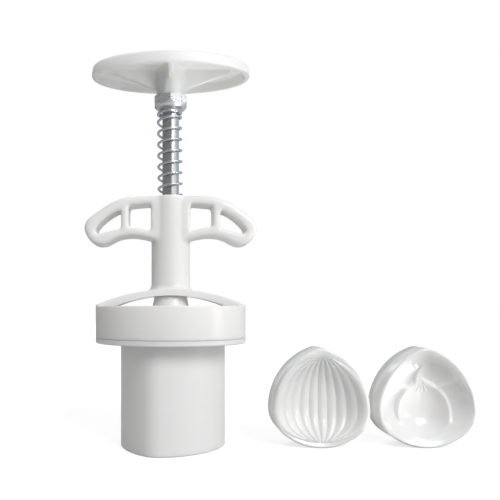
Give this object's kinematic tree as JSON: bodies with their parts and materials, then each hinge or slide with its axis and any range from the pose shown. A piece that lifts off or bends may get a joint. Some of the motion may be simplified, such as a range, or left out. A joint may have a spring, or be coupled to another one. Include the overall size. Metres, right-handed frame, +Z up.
{
  "type": "mooncake press",
  "caption": "Hand press for chestnut-shaped mooncakes: sprung plunger with oval knob, T-handle with twist-lock collar, chestnut barrel, and push-on pattern stamps.",
  "frame": {"origin": "on the rod's axis, in the plane of the barrel's mouth, which stands on the table", "axes": "+Z up along the rod, from the barrel's mouth to the knob; -Y is the front; +X runs along the handle's wings and the knob's long way, towards the loose stamps"},
  "size_m": [0.1842, 0.0718, 0.184],
  "materials": {
    "white_plastic": "semi-gloss moulded white polypropylene",
    "stamp_plastic": "glossy moulded white plastic",
    "rod_steel": "bright chrome plate",
    "nut_steel": "bright zinc plate",
    "spring_steel": "drawn spring wire, zinc plated",
    "insert_brass": "turned, plain"
  },
  "bodies": {
    "barrel": {"barrel": "white_plastic"},
    "handle": {"handle": "white_plastic", "spring": "spring_steel"},
    "plunger": {"plunger": "white_plastic", "plunger_washer": "nut_steel", "plunger_nut": "nut_steel", "rod": "rod_steel", "lock_nut": "nut_steel", "knob_insert": "insert_brass", "knob": "white_plastic"},
    "ridged_stamp": {"ridged_stamp": "stamp_plastic"},
    "chestnut_stamp": {"chestnut_stamp": "stamp_plastic"}
  },
  "joints": [
    {"name": "plunge", "type": "slide", "parent": "barrel", "child": "plunger", "axis": [0, 0, -1], "range_m": [0, 0.0425], "stiffness_N_per_m": 1250, "springref_m": -0.0115, "deforming": ["spring"]},
    {"name": "collar_twist", "type": "hinge", "parent": "barrel", "child": "handle", "pos_m": [0, 0, 0], "axis": [0, 0, 1], "range_deg": [0, 45]},
    {"name": "ridged_stamp_lift", "type": "slide", "parent": "barrel", "child": "ridged_stamp", "axis": [0, 0, 1], "range_m": [0, 0.06]},
    {"name": "chestnut_stamp_lift", "type": "slide", "parent": "barrel", "child": "chestnut_stamp", "axis": [0, 0, 1], "range_m": [0, 0.06]}
  ]
}
